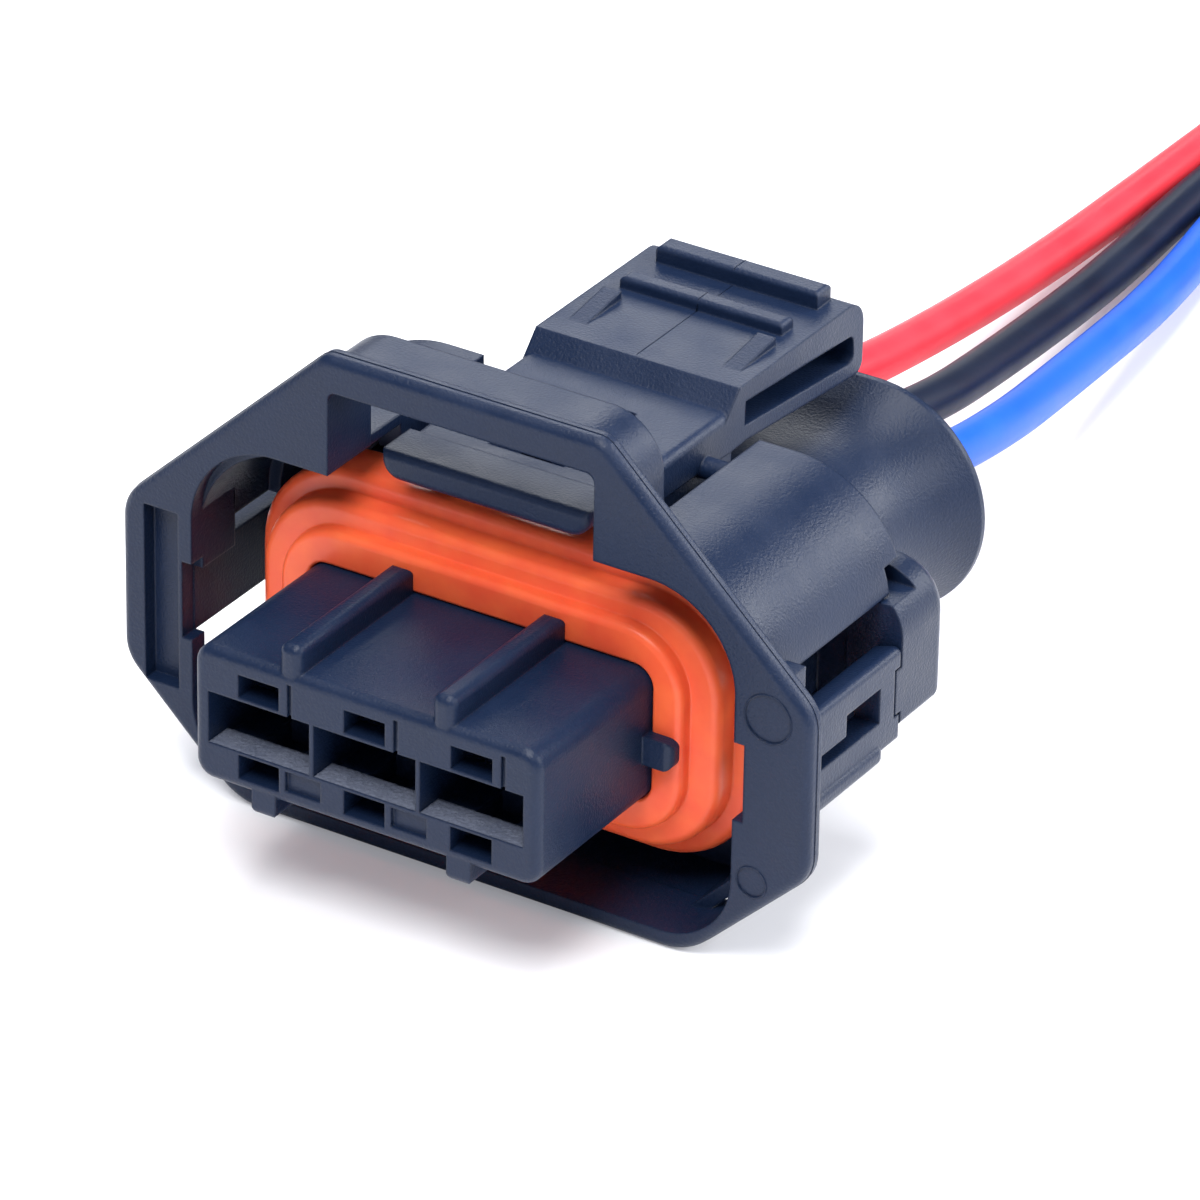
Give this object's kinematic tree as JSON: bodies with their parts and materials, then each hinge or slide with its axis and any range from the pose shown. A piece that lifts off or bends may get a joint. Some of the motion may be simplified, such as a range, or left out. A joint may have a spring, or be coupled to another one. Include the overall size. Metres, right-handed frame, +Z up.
{
  "type": "electrical connector",
  "caption": "Sealed plug connector with a guard hoop, rocker latch, side lock, rubber seal and short coloured lead wires ending in a loose coil.",
  "frame": {"origin": "middle of the plug's outer box at the height of the guard hoop's foot, so the plug stands on Z = 0; the leads are not counted", "axes": "+X across the contact row towards the side lock, +Y from the mating face towards the wires, +Z up through the latch"},
  "size_m": [0.0391, 0.1128, 0.0231],
  "materials": {
    "housing_plastic": "fine-grained satin slate grey, glass-filled",
    "latch_plastic": "fine-grained satin slate grey",
    "lock_plastic": "satin slate grey",
    "seal_rubber": "dull orange-red silicone",
    "contact_metal": "bright tin plate over copper alloy",
    "spring_steel": "plain stainless sheet",
    "wire_seal_rubber": "dull silicone",
    "red_insulation": "smooth glossy soft vinyl",
    "black_insulation": "smooth glossy soft vinyl",
    "blue_insulation": "smooth glossy soft vinyl",
    "bare_copper": "twisted bare copper strands"
  },
  "bodies": {
    "plug": {"housing": "housing_plastic", "interface_seal": "seal_rubber", "terminal_1": "contact_metal", "terminal_2": "contact_metal", "terminal_3": "contact_metal", "terminal_spring_1": "spring_steel", "terminal_spring_2": "spring_steel", "terminal_spring_3": "spring_steel", "wire_seal_1": "wire_seal_rubber", "wire_seal_2": "wire_seal_rubber", "wire_seal_3": "wire_seal_rubber", "red_lead": "red_insulation", "red_lead_coil": "red_insulation", "red_lead_end": "bare_copper", "black_lead": "black_insulation", "black_lead_coil": "black_insulation", "black_lead_end": "bare_copper", "blue_lead": "blue_insulation", "blue_lead_coil": "blue_insulation", "blue_lead_end": "bare_copper"},
    "latch": {"latch_lever": "latch_plastic"},
    "lock": {"secondary_lock": "lock_plastic"}
  },
  "joints": [
    {"name": "latch_rock", "type": "hinge", "parent": "plug", "child": "latch", "pos_m": [0, 0.002, 0.0164], "axis": [-1, 0, 0], "range_deg": [0, 5], "stiffness_Nm_per_rad": 0.02},
    {"name": "lock_slide", "type": "slide", "parent": "plug", "child": "lock", "axis": [1, 0, 0], "range_m": [0, 0.002]}
  ]
}
